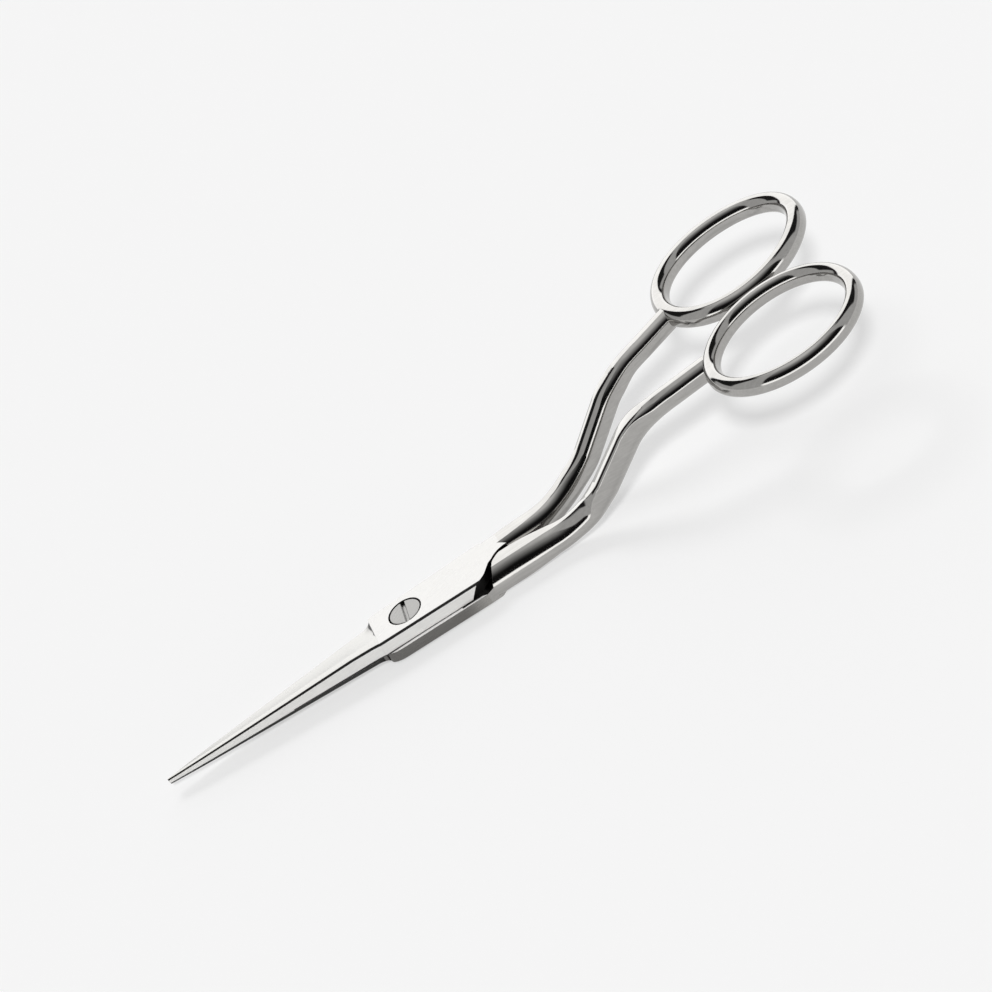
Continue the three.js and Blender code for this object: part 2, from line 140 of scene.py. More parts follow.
# Pivot screw
SCREW_SIDES = 160
HEAD_RADIUS, HEAD_HEIGHT, HEAD_SUNK, HEAD_EDGE = 3.2, 1.3, 0.05, 0.12
SLOT_WIDTH, SLOT_DEPTH, SLOT_TURN, SLOT_EDGE = 0.7, 0.6, 1.48, 0.14
SLOT_LENGTH, SLOT_OVERLAP = 3 * HEAD_RADIUS, 1e-3
JOURNAL_RADIUS, THREAD_RADIUS = 2.0, 1.7
SCREW_END_CHAMFER, SCREW_END_SUNK = 0.25, 0.1
COUNTERBORE_GAP, SEAT_GAP, JOURNAL_GAP, THREAD_GAP = 0.25, 0.01, 0.08, 0.02

VERTICAL = Vector((0, 0, 1))


def lerp(a, b, f):
    return a + (b - a) * f


def smooth(x, low, high):
    f = min(1, max(0, (x - low) / (high - low)))
    return f * f * (3 - 2 * f)


def new_object(name, vertices, faces):
    mesh = bpy.data.meshes.new(name)
    mesh.from_pydata(vertices, [], faces)
    mesh.validate()
    made = bpy.data.objects.new(name, mesh)
    bpy.context.scene.collection.objects.link(made)
    return made


def rectangle(length, width):
    """Corners about the origin, counterclockwise."""
    return [(u * length / 2, v * width / 2) for u, v in ((-1, -1), (1, -1), (1, 1), (-1, 1))]


def skin(name, sections, closed):
    """A skin over sections, each a place, side and up vectors and a counterclockwise outline."""
    count = len(sections[0][3])
    vertices = [at + side * u + up * v for at, side, up, outline in sections for u, v in outline]
    faces = []
    last = len(sections) if closed else len(sections) - 1
    for i in range(last):
        following = (i + 1) % len(sections)
        for j in range(count):
            k = (j + 1) % count
            faces.append((i * count + j, i * count + k, following * count + k, following * count + j))
    if not closed:
        end = (len(sections) - 1) * count
        faces.append(tuple(range(count - 1, -1, -1)))
        faces.append(tuple(range(end, end + count)))
    return new_object(name, vertices, faces)


def combine(first, second, operation):
    """The boolean of two closed meshes, in the first one's object."""
    cut = first.modifiers.new("combine", "BOOLEAN")
    cut.operation = operation
    cut.solver = "MANIFOLD"
    cut.object = second
    graph = bpy.context.evaluated_depsgraph_get()
    result = bpy.data.meshes.new_from_object(first.evaluated_get(graph))
    first.modifiers.clear()
    first.data = result
    bpy.data.objects.remove(second)
    return first


def rounded_outline(width, height, corners):
    """Box with four elliptic edge rounds in steps of equal tilt, counterclockwise from its +side middle."""
    outline = []
    for quarter, (across, high, crease) in enumerate(corners):
        sx = 1 if quarter in (0, 3) else -1
        sy = 1 if quarter < 2 else -1
        a, b = across / (1 - math.sin(crease)), high / math.cos(crease)
        first_tilt = math.atan2(b * math.sin(crease), a * math.cos(crease))
        for k in range(CORNER_STEPS + 1):
            from_top = k / CORNER_STEPS if quarter % 2 else 1 - k / CORNER_STEPS
            tilt = lerp(first_tilt, math.pi / 2, from_top)
            angle = math.atan2(a * math.sin(tilt), b * math.cos(tilt))
            x = width / 2 - a * (1 - math.sin(angle))
            outline.append((sx * x, sy * (height / 2 - high + b * math.cos(angle))))
    return outline


def blade_outline(x, edge_at_root):
    """Seam, back, cutting edge, land, hollow face, ridge and back chamfer at x."""
    s = (x - BLOCK_FRONT) / (BLADE_TIP - BLOCK_FRONT)
    thick = lerp(HALF_THICKNESS, TIP_THICKNESS, max(0, s - THINNING_START) / (1 - THINNING_START))
    back = -(BACK_AT_ROOT - BACK_FALL * s - BACK_TIP_CURVE * s**BACK_TIP_POWER)
    land = lerp(LAND_AT_ROOT, LAND_AT_TIP, s)
    top = lerp(edge_at_root, EDGE_AT_TIP, s) - EDGE_TIP_CURVE * s**EDGE_TIP_POWER
    chamfer = BACK_CHAMFER * (1 - CHAMFER_FALL * s)
    ridge = back + min(chamfer + lerp(RIDGE_AT_ROOT, RIDGE_AT_TIP, s), RIDGE_LIMIT * (top - back))
    outline = [(back, SEAM_SHARE * chamfer), (back, 0), (top + LAND_SLOPE * land, 0), (top, land)]
    for k in range(1, HOLLOW_POINTS + 1):
        f = k / (HOLLOW_POINTS + 1)
        sag = HOLLOW_DEPTH * (1 - s) * 4 * f * (1 - f)
        outline.append((lerp(top, ridge, f), lerp(land, thick, f) - sag))
    return outline + [(ridge, thick), (back + chamfer, thick), (back, thick - chamfer)]


def block_outline(x, form):
    """Cross-section of the joint block at x, with as many points as the blade's."""
    corner, chamfer = form["corner"], form["chamfer"]
    ahead = min(1, max(0, 1 - (x - BLOCK_FRONT) / corner["long"]))
    back = -(form["wall_back"] + WALL_TAPER * x)
    edge = form["wall_edge"] + WALL_TAPER * x - corner["deep"] * (1 - math.sqrt(1 - ahead**2))
    t = HALF_THICKNESS
    face = [(edge, t - chamfer["high"]), (edge - chamfer["across"], t)]
    face += [(lerp(edge, back, share), t) for share in FACE_POINTS]
    last = len(face) - 1
    outline = [(back, SEAM_SHARE * BACK_CHAMFER), (back, 0), (edge, 0), face[0]]
    for k in range(1, HOLLOW_POINTS + 1):
        f = last * k / (HOLLOW_POINTS + 1)
        a, b = face[int(f)], face[min(last, int(f) + 1)]
        outline.append((lerp(a[0], b[0], f % 1), lerp(a[1], b[1], f % 1)))
    return outline + [face[last], (back + BACK_CHAMFER, t), (back, t - BACK_CHAMFER)]


def blade_and_block(name, form):
    """Blade from the tip, run-out curve into the joint block, and the block past its rear end."""
    side = Vector((0, 1, 0))
    sections = []

    def add(x, outline):
        sections.append((Vector((x, 0, 0)), side, VERTICAL, outline))

    ground_end = BLOCK_FRONT - RUN_OUT_LENGTH
    for i in range(BLADE_STATIONS + 1):
        x = lerp(BLADE_TIP, ground_end, 1 - (1 - i / BLADE_STATIONS) ** STATION_POWER)
        add(x, blade_outline(x, form["edge_at_root"]))
    for i in range(1, RUN_OUT_STATIONS + 1):
        angle = math.pi / 2 * i / RUN_OUT_STATIONS
        x = ground_end + RUN_OUT_LENGTH * math.sin(angle)
        blend = 1 - math.cos(angle)
        pairs = zip(blade_outline(x, form["edge_at_root"]), block_outline(x, form))
        add(x, [(lerp(a[0], b[0], blend), lerp(a[1], b[1], blend)) for a, b in pairs])
    for i in range(1, CORNER_STATIONS + 1):
        x = BLOCK_FRONT + form["corner"]["long"] * (1 - math.cos(math.pi / 2 * i / CORNER_STATIONS))
        add(x, block_outline(x, form))
    add(BLOCK_REAR, block_outline(BLOCK_REAR, form))
    return skin(name, sections, False)


def curve_to(points, peak, end):
    """Adds a quadratic curve from the last point."""
    start = points[-1]
    for k in range(1, CURVE_STEPS + 1):
        f = k / CURVE_STEPS
        weights = ((1 - f) ** 2, 2 * f * (1 - f), f * f)
        points.append(tuple(sum(w * p[i] for w, p in zip(weights, (start, peak, end))) for i in (0, 1)))


def prism(name, plans, low, high):
    """A body between a lower and an upper plan outline."""
    side, up = Vector((1, 0, 0)), Vector((0, 1, 0))
    return skin(name, [(Vector((0, 0, z)), side, up, plan) for z, plan in zip((low, high), plans)], False)


def flipped(points):
    return [(x, -y) for x, y in points]


def block_end_plan(inner, outer_end, forward):
    """Plan outline that ends the joint block: round near corner, slope to the shank, oblique far end."""
    turn_x = NEAR_TURN[0] - forward
    plan = [(PLAN_FRONT, -PLAN_MARGIN), (turn_x, -PLAN_MARGIN), (turn_x, -NEAR_TURN[1])]
    slope_start = (REAR_SLOPE_START[0] - forward / 2, REAR_SLOPE_START[1])
    curve_to(plan, *flipped([(NEAR_TURN_PEAK[0] - forward, NEAR_TURN_PEAK[1]), slope_start]))
    plan += flipped([REAR_SLOPE_END])
    curve_to(plan, (REAR_ROOT_PEAK_X, inner), (REAR_ROOT_X, inner))
    plan.append((REAR_ROOT_X - REAR_ROOT_BACK, inner + REAR_ROOT_OUT))
    plan.append((outer_end, OUTER_END_INSIDE_Y))
    plan.append((outer_end - OUTER_END_SLANT, OUTER_END_OUTSIDE_Y))
    return plan + [(outer_end - OUTER_END_SLANT, PLAN_MARGIN), (PLAN_FRONT, PLAN_MARGIN)]


def block_end(inner, outer_end):
    """The joint block's end, with its near corner drawn forward towards the parting plane."""
    low, high = -CUT_OVERLAP, HALF_THICKNESS + CUT_OVERLAP
    forward = [NEAR_TURN_DRAFT * (HALF_THICKNESS - z) for z in (low, high)]
    return prism("block_end", [block_end_plan(inner, outer_end, f) for f in forward], low, high)


def shoulder_room(inner):
    """Room for the other half's joint block."""
    near = -inner - CUT_OVERLAP
    plan = [(-PLAN_MARGIN, near), (SHOULDER_ROOT_X, near), (SHOULDER_ROOT_X, inner)]
    curve_to(plan, SHOULDER_ROOT_PEAK, SHOULDER_MIDDLE)
    curve_to(plan, SHOULDER_PEAK, SHOULDER_OUTER)
    plan += [SHOULDER_FRONT, (-PLAN_MARGIN, SHOULDER_FRONT[1])]
    return prism("shoulder_room", [plan, plan], -CUT_MARGIN, 0)


def bow_line(sign, oval):
    """Middle line of a bow's tube: ends at the common rear and keeps clear of the other bow."""
    middle = oval["width"] / 2
    turn = Matrix.Rotation(oval["turn"], 3, "Z")

    def level(angle):
        x = (oval["long"] + middle) * math.cos(angle)
        y = (oval["wide"] + middle) * (1 + oval["egg"] * math.cos(angle)) * math.sin(angle)
        return turn @ Vector((x, y, 0))

    points = [level(2 * math.pi * i / BOW_STATIONS) for i in range(BOW_STATIONS)]
    reach = max(-sign * p.y for p in points)
    x = BOW_REAR - middle - max(p.x for p in points)
    y = sign * (BOW_GAP / 2 + middle + reach)
    tilt = Matrix.Rotation(-BOW_TILT, 3, "Y")
    return lambda angle: tilt @ level(angle) + Vector((x, y, BOW_Z))


def shank_line(sign, start_y, oval):
    """Points and directions along a shank: level, up through the two bends, and on to the bow."""

    def at(x, y, z):
        return np.array((x, sign * y, z), float)

    end = np.array(bow_line(sign, oval)(oval["join_at"])) - (0, 0, SHANK_DROP)
    begin = at(SHANK_START_X, start_y, SHANK_START_Z)
    level = at(SHANK_BEND_X, start_y, SHANK_START_Z)
    foot = [at(*p) for p in (FOOT_START, FOOT_PEAK, FOOT_END)]
    crest = [at(*p) for p in (CREST_START, CREST_PEAK, CREST_END)]
    pieces = [(begin, level, foot[0]), foot, (foot[2], (foot[2] + crest[0]) / 2, crest[0]), crest]
    pieces.append((crest[2], (crest[2] + end) / 2, end))
    fine = []
    for a, b, c in pieces:
        for f in np.linspace(0, 1, LINE_STEPS, endpoint=False):
            fine.append((1 - f) ** 2 * a + 2 * f * (1 - f) * b + f * f * c)
    fine.append(end)
    fine = np.array(fine)
    run = np.concatenate(([0], np.cumsum(np.linalg.norm(np.diff(fine, axis=0), axis=1))))
    marks = np.linspace(0, run[-1], SHANK_STATIONS + 1)
    places = np.stack([np.interp(marks, run, fine[:, k]) for k in range(3)], axis=1)
    along = np.gradient(places, axis=0)
    return [(Vector(p), Vector(d).normalized()) for p, d in zip(places, along)]


def shank_form(x, forms):
    """The section at x: each later form takes over from the one before it."""
    form = forms[0]
    for later, (start, stop) in zip(forms[1:], (ROOT_TO_FOOT, FOOT_TO_OFFSET, OFFSET_TO_STEM)):
        f = smooth(x, start, stop)
        mixed = {key: lerp(form[key], later[key], f) for key in ("width", "height", "rise")}
        for key in ("tight", "broad", "under"):
            mixed[key] = tuple(lerp(a, b, f) for a, b in zip(form[key], later[key]))
        form = mixed
    return form


def shank(name, sign, start_y, forms, oval):
    """Shank with a flat top facet."""
    sections = []
    for at, along in shank_line(sign, start_y, oval):
        side = VERTICAL.cross(along).normalized()
        up = along.cross(side)
        form = shank_form(at.x, forms)
        corners = [form[key] for key in ("tight", "broad", "under", "under")]
        outline = rounded_outline(form["width"], form["height"], corners)
        sections.append((at + up * form["rise"], side, up, outline))
    return skin(name, sections, False)


def bow(name, sign, oval):
    """Oval finger bow with a narrow flat top facet."""
    rounds = [BOW_ROUND[kind] for kind in ("outer", "inner", "under", "under")]
    outline = rounded_outline(oval["width"], oval["height"], rounds)
    point = bow_line(sign, oval)
    up = Matrix.Rotation(-BOW_TILT, 3, "Y") @ VERTICAL
    sections = []
    for i in range(BOW_STATIONS):
        angle = -2 * math.pi * i / BOW_STATIONS
        along = (point(angle - BOW_ANGLE_STEP) - point(angle + BOW_ANGLE_STEP)).normalized()
        middle = point(angle) + up * (oval["top"] - oval["height"] / 2)
        sections.append((middle, up.cross(along).normalized(), up, outline))
    return skin(name, sections, True)


def turned(name, profile):
    """A turned piece about the pivot axis from radius and height pairs, closed on the axis."""
    rings = profile[1:-1]
    vertices = [(0, 0, profile[0][1])]
    for r, z in rings:
        for k in range(SCREW_SIDES):
            angle = 2 * math.pi * k / SCREW_SIDES
            vertices.append((r * math.cos(angle), r * math.sin(angle), z))
    vertices.append((0, 0, profile[-1][1]))
    faces = []
    for k in range(SCREW_SIDES):
        n = (k + 1) % SCREW_SIDES
        faces.append((0, 1 + n, 1 + k))
        for i in range(len(rings) - 1):
            a, b = 1 + i * SCREW_SIDES, 1 + (i + 1) * SCREW_SIDES
            faces.append((a + k, a + n, b + n, b + k))
        top = 1 + (len(rings) - 1) * SCREW_SIDES
        faces.append((top + k, top + n, len(vertices) - 1))
    return new_object(name, vertices, faces)


def drill(radius, low, high):
    """The body of a round hole about the pivot axis."""
    return turned("drill", [(0, low), (radius, low), (radius, high), (0, high)])


def turn_over(made):
    """Half a turn about X, from the upper half's side of the parting plane to the lower one's."""
    made.data.transform(Matrix.Rotation(math.pi, 4, "X"))
    return made


def upper_half():
    form = {"wall_back": WALL_UPPER_NEAR, "wall_edge": WALL_UPPER_FAR, "chamfer": FAR_CHAMFER}
    form.update(corner=FAR_CORNER, edge_at_root=EDGE_UPPER)
    half = combine(blade_and_block("upper_steel", form), block_end(SHANK_GAP_UPPER, UPPER_END), "INTERSECT")
    start_y = SHANK_GAP_UPPER + SHANK_START_WIDTH_UPPER / 2
    stem = shank("stem", 1, start_y, UPPER_FORMS, FAR_BOW)
    combine(half, combine(stem, shoulder_room(SHANK_GAP_UPPER), "DIFFERENCE"), "UNION")
    combine(half, bow("bow", 1, FAR_BOW), "UNION")
    seat = HALF_THICKNESS - HEAD_SUNK - HEAD_HEIGHT - SEAT_GAP
    combine(half, drill(HEAD_RADIUS + COUNTERBORE_GAP, seat, CUT_MARGIN), "DIFFERENCE")
    return combine(half, drill(JOURNAL_RADIUS + JOURNAL_GAP, -CUT_OVERLAP, CUT_MARGIN), "DIFFERENCE")


def lower_half():
    form = {"wall_back": WALL_LOWER_FAR, "wall_edge": WALL_LOWER_NEAR, "chamfer": NEAR_CHAMFER}
    form.update(corner=NEAR_CORNER, edge_at_root=EDGE_LOWER)
    half = combine(blade_and_block("lower_steel", form), block_end(SHANK_GAP_LOWER, LOWER_END), "INTERSECT")
    turn_over(half)
    start_y = SHANK_GAP_LOWER + SHANK_START_WIDTH_LOWER / 2
    stem = shank("stem", -1, start_y, LOWER_FORMS, NEAR_BOW)
    combine(half, combine(stem, turn_over(shoulder_room(SHANK_GAP_LOWER)), "DIFFERENCE"), "UNION")
    combine(half, bow("bow", -1, NEAR_BOW), "UNION")
    return combine(half, drill(THREAD_RADIUS + THREAD_GAP, -CUT_MARGIN, CUT_OVERLAP), "DIFFERENCE")


def pivot_screw():
    """Sunk slotted head, shoulder and threaded end, with the slot's edges broken."""
    top = HALF_THICKNESS - HEAD_SUNK
    end = -HALF_THICKNESS + SCREW_END_SUNK
    profile = [(0, end), (THREAD_RADIUS - SCREW_END_CHAMFER, end), (THREAD_RADIUS, end + SCREW_END_CHAMFER)]
    profile += [(THREAD_RADIUS, 0), (JOURNAL_RADIUS, 0), (JOURNAL_RADIUS, top - HEAD_HEIGHT)]
    profile += [(HEAD_RADIUS, top - HEAD_HEIGHT), (HEAD_RADIUS, top - HEAD_EDGE)]
    profile += [(HEAD_RADIUS - HEAD_EDGE, top), (0, top)]
    body = turned("screw_steel_body", profile)
    plan = rectangle(SLOT_LENGTH, SLOT_WIDTH)
    wide = rectangle(SLOT_LENGTH, SLOT_WIDTH + 2 * SLOT_EDGE)
    slot = prism("slot", [plan, plan], top - SLOT_DEPTH, CUT_MARGIN)
    combine(slot, prism("slot_edge", [plan, wide], top - SLOT_EDGE, top + SLOT_OVERLAP), "UNION")
    slot.data.transform(Matrix.Rotation(SLOT_TURN, 4, "Z"))
    return combine(body, slot, "DIFFERENCE")


# Patterns of the metals: noise scales per metre, the share of the grinding lines in the mix with the patches,
# and the limits of the mix that count for the polish and for the tone
PATCH_SCALE, WAVE_SCALE = 260.0, 420.0
STREAK_SHARE = 0.6
POLISH_MIX = (0.3, 0.7)
TONE_MIX, TONE_SHARES = (0.35, 0.65), (0.94, 1.05)
EDGE_ROUND, EDGE_SAMPLES = 0.05, 4


class Nodes:
    """Short forms for building a node tree."""

    def __init__(self, tree):
        self.tree = tree
        tree.nodes.clear()

    def add(self, kind, **settings):
        node = self.tree.nodes.new(kind)
        for key, value in settings.items():
            setattr(node, key, value)
        return node

    def link(self, source, target):
        self.tree.links.new(source, target)

    def math(self, operation, *values, clamp=False):
        node = self.add("ShaderNodeMath", operation=operation, use_clamp=clamp)
        for socket, value in zip(node.inputs, values):
            if isinstance(value, (int, float)):
                socket.default_value = value
            else:
                self.link(value, socket)
        return node.outputs[0]

    def ramp(self, value, low, high, to_low=0.0, to_high=1.0):
        node = self.add("ShaderNodeMapRange", interpolation_type="SMOOTHSTEP")
        self.link(value, node.inputs["Value"])
        for key, number in zip(("From Min", "From Max", "To Min", "To Max"), (low, high, to_low, to_high)):
            node.inputs[key].default_value = number
        return node.outputs["Result"]

    def noise(self, vector, scale, detail=3.0, roughness=0.55):
        node = self.add("ShaderNodeTexNoise")
        self.link(vector, node.inputs["Vector"])
        node.inputs["Scale"].default_value = scale
        node.inputs["Detail"].default_value = detail
        node.inputs["Roughness"].default_value = roughness
        return node.outputs["Fac"]

    def inside(self, vector, low, high, soft, level):
        """The level inside a box in plan, 1 outside it; millimetres from the pivot, with soft limits."""
        parts = self.add("ShaderNodeSeparateXYZ")
        self.link(vector, parts.inputs[0])
        mask = 1.0
        for axis in (0, 1):
            for limit, shares in ((low[axis], (0, 1)), (high[axis], (1, 0))):
                ends = [PIVOT[axis] + (limit + side * soft / 2) * METRES_PER_MM for side in (-1, 1)]
                mask = self.math("MULTIPLY", mask, self.ramp(parts.outputs[axis], *ends, *shares))
        return self.math("SUBTRACT", 1.0, self.math("MULTIPLY", mask, 1 - level))

    def stretched(self, vector, turn, scales):
        """The coordinates turned about Z and scaled, for lines along one direction."""
        node = self.add("ShaderNodeMapping", vector_type="TEXTURE")
        node.inputs["Rotation"].default_value = (0, 0, turn)
        node.inputs["Scale"].default_value = tuple(1 / s for s in scales)
        self.link(vector, node.inputs["Vector"])
        return node.outputs["Vector"]


def metal(name, tone, roughness, lines, spread=0.06, metallic=1.0, wave=0.0, painted_light=(), matt=None):
    """Nickel or steel with grinding lines, uneven polish and small edge rounds. The lines are their direction
    in plan, their scales along and across, and their height in millimetres; the wave is the height of a slow
    unevenness. The painted light is a list of boxes in plan, each with the width of its soft limits and the
    tone's share inside it, which paint light and shade into the tone; the matt one gives the metallic share."""
    material = bpy.data.materials.new(name)
    material.use_nodes = True
    n = Nodes(material.node_tree)
    output = n.add("ShaderNodeOutputMaterial")
    shader = n.add("ShaderNodeBsdfPrincipled")
    n.link(shader.outputs[0], output.inputs["Surface"])
    shader.inputs["Metallic"].default_value = metallic
    position = n.add("ShaderNodeTexCoord").outputs["Object"]
    if matt:
        n.link(n.inside(position, *matt), shader.inputs["Metallic"])
    direction, (along, across), height = lines
    streaks = n.noise(n.stretched(position, direction, (along, across, across)), 1.0, detail=4.0)
    patches = n.noise(position, PATCH_SCALE)
    parts = [n.math("MULTIPLY", streaks, STREAK_SHARE), n.math("MULTIPLY", patches, 1 - STREAK_SHARE)]
    mix = n.math("ADD", *parts)
    n.link(n.ramp(mix, *POLISH_MIX, roughness - spread, roughness + spread), shader.inputs["Roughness"])
    share = n.ramp(mix, *TONE_MIX, *TONE_SHARES)
    for shade in painted_light:
        share = n.math("MULTIPLY", share, n.inside(position, *shade))
    colour = n.add("ShaderNodeVectorMath", operation="SCALE")
    colour.inputs[0].default_value = tone
    n.link(share, colour.inputs["Scale"])
    n.link(colour.outputs[0], shader.inputs["Base Color"])
    bevel = n.add("ShaderNodeBevel", samples=EDGE_SAMPLES)
    bevel.inputs["Radius"].default_value = EDGE_ROUND * METRES_PER_MM
    bump = n.add("ShaderNodeBump")
    bump.inputs["Strength"].default_value = 1.0
    bump.inputs["Distance"].default_value = METRES_PER_MM
    relief = n.math("MULTIPLY", streaks, height)
    if wave:
        waves = n.noise(position, WAVE_SCALE, detail=1.0)
        relief = n.math("ADD", relief, n.math("MULTIPLY", waves, wave))
    n.link(relief, bump.inputs["Height"])
    n.link(bevel.outputs[0], bump.inputs["Normal"])
    n.link(bump.outputs[0], shader.inputs["Normal"])
    return material


# The finishes, some of them carrying painted light and shade, in the order of a half's material slots
POLISHED, FACE, HOLLOW, WALL, SHADED_WALL, INNER, EDGE, SEAM_LINE, LAND, BORE, RECESS_SHADE = range(11)

# Boxes in plan and the width of their soft limits, where light and shade are painted into the tone. On the
# inner
# faces: a painted highlight on the ledge of the lower half's near side, and painted shade in the corner
# behind it.
# On the shaded wall, whose darkness is painted shade: a painted lighter stretch towards its rear.
LEDGE_HIGHLIGHT = ((-9, -7), (20, -WALL_UPPER_NEAR), 0.1)
REAR_CORNER_SHADE = ((9.4, -5.75), (16, -3.6), 0.3)
WALL_REAR_PAINTED_LIGHT = ((12, -9), (30, 0), 6)
LEDGE_HIGHLIGHT_SHARE, LEDGE_HIGHLIGHT_METALLIC, REAR_CORNER_SHADE_SHARE, WALL_REAR_PAINTED_LIGHT_SHARE = 2.05, 0.1, 0.01, 2.2


# Directions in plan of the grinding lines on the joint faces and in the hollows
FACE_LINES_TURN, HOLLOW_LINES_TURN = 0.35, 1.5


def steel_materials():
    """The finishes of a half in the order of its material slots; some of them carry painted light and shade.
    """
    buffed = (0, (90, 2500), 0.0004)
    ground = ((300, 9000), 0.0012)
    fine = (0, (250, 9000), 0.0012)
    dull = (0, (400, 4000), 0.001)
    return [
        metal("polished_nickel", (0.41, 0.402, 0.388), 0.085, buffed, spread=0.03, wave=0.004),
        metal("ground_face", (0.47, 0.465, 0.455), 0.3, (FACE_LINES_TURN, *ground)),
        metal("hollow_ground", (0.43, 0.425, 0.41), 0.3, (HOLLOW_LINES_TURN, *ground)),
        # Satin walls: a real satin finish, with the tone raised and made partly diffuse as painted light on
        # the walls.
        metal("satin_wall_painted_light", (0.8, 0.795, 0.775), 0.36, fine, metallic=0.6),
        # Painted shade on the lower half's near block wall, with a painted lighter stretch towards its rear.
        metal("shaded_wall", (0.17, 0.166, 0.158), 0.3, fine, painted_light=[WALL_REAR_PAINTED_LIGHT + (WALL_REAR_PAINTED_LIGHT_SHARE,)]),
        # Inner faces: a painted highlight on the lower half's near ledge, brighter and nearly non-metallic,
        # and painted shade in the rear corner.
        metal("inner_face", (0.48, 0.475, 0.465), 0.36, fine,
              painted_light=[LEDGE_HIGHLIGHT + (LEDGE_HIGHLIGHT_SHARE,), REAR_CORNER_SHADE + (REAR_CORNER_SHADE_SHARE,)],
              matt=LEDGE_HIGHLIGHT + (LEDGE_HIGHLIGHT_METALLIC,)),
        # Painted dark reflection on the back chamfers.
        metal("dark_edge_painted_reflection", (0.06, 0.059, 0.057), 0.2, fine, spread=0.05),
        metal("seam", (0.1, 0.099, 0.096), 0.35, fine, spread=0.05),
        # Painted shade: the cutting lands are nearly black.
        metal("cutting_land_painted_shade", (0.02, 0.02, 0.019), 0.4, fine),
        metal("bore_wall", (0.1, 0.1, 0.098), 0.4, dull, spread=0.1),
        # Painted shade in the recess at the block's near rear end.
        metal("recess_painted_shade", (0.02, 0.02, 0.02), 0.4, dull, spread=0.1),
    ]


# Limits of a normal's share along Z away from the parting plane: walls stay below STEEP, lands and broken
# edges lie between it and their own limits, and flat faces start at LEVEL
STEEP, LAND_LIMIT, EDGE_LIMIT, LEVEL = 0.3, 0.8, 0.9, 0.99
# Where the block's near corner has turned to face the rear
REAR_TURN_X, REAR_TURN_NORMAL = 9, 0.3
# How far a face may lie from the height that it is looked for at
TOLERANCE = 0.01


def face_values(mesh, kind):
    """The X, Y and Z parts of every face's "center" or "normal"."""
    values = np.empty(len(mesh.polygons) * 3)
    mesh.polygons.foreach_get(kind, values)
    return values.reshape(-1, 3).T


def finish_half(half, facing, materials):
    """Gives each face of a half its finish by where it is and which way it faces. Facing is 1 for the half
    above the parting plane and -1 for the one below it."""
    mesh = half.data
    mesh.materials.clear()
    for material in materials:
        mesh.materials.append(material)
    x, y, z = face_values(mesh, "center")
    nx, _, nz = face_values(mesh, "normal")
    kind = np.full(len(x), POLISHED)
    outer = facing * nz
    steep = np.abs(nz) < STEEP
    back_side = facing * y < 0
    front = x < SHANK_START_X
    blade = x <= BLOCK_FRONT
    before_shoulder = x < SHOULDER_ROOT_X
    block = front & (x > BLOCK_FRONT - RUN_OUT_LENGTH)
    # The walls get the satin finish, whose raised tone is painted light.
    kind[front & steep] = WALL
    # Painted shade: the lower half's block wall on its -Y side, which faces the camera, takes the dark shaded
    # wall.
    kind[block & (facing < 0) & (y < 0) & (outer > -STEEP)] = SHADED_WALL
    if facing > 0:
        low = (z < SEAM_SHARE * BACK_CHAMFER / 2 + TOLERANCE) & (x > BLADE_TIP / 2)
        kind[front & back_side & low & steep] = SEAM_LINE
    kind[before_shoulder & (outer > LEVEL)] = FACE
    kind[blade & (outer > LAND_LIMIT)] = HOLLOW
    # Painted dark reflection: the back chamfers take a near-black tone.
    kind[front & back_side & (outer > STEEP) & (outer < EDGE_LIMIT)] = EDGE
    # Painted shade: the cutting lands take a near-black tone.
    kind[blade & ~back_side & (outer > STEEP) & (outer < LAND_LIMIT)] = LAND
    # The inner faces carry the ledge's painted highlight and the rear corner's painted shade.
    kind[front & (outer < -LEVEL)] = INNER
    # Painted shade: the block's near rear end, turned to the rear beside the shoulder, is nearly black.
    turned_back = (x > REAR_TURN_X) & (nx > REAR_TURN_NORMAL) & (outer > -EDGE_LIMIT)
    kind[back_side & before_shoulder & turned_back] = RECESS_SHADE
    height = facing * z
    bored = (np.hypot(x, y) < HEAD_RADIUS + 2 * COUNTERBORE_GAP) & (height < HALF_THICKNESS - TOLERANCE)
    kind[bored & (np.abs(height) > TOLERANCE)] = BORE
    mesh.polygons.foreach_set("material_index", kind.astype(np.int32))


def place(made, body, node):
    """Moves a piece from the pivot's frame to the row frame and lets it stand for its node."""
    made.data.transform(Matrix.Translation(PIVOT) @ Matrix.Scale(METRES_PER_MM, 4))
    made.data.shade_smooth()
    made.data.set_sharp_from_angle(angle=SHARP_ANGLE)
    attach(made, body)
    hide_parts(node)


steels = steel_materials()
upper = upper_half()
finish_half(upper, 1, steels)
place(upper, "upper", "upper_half")
lower = lower_half()
finish_half(lower, -1, steels)
place(lower, "lower", "lower_half")
screw = pivot_screw()
screw.data.materials.clear()
screw.data.materials.append(metal("turned_screw", (0.26, 0.257, 0.25), 0.3, (0.5, (400, 9000), 0.001)))
place(screw, "lower", "pivot_screw")

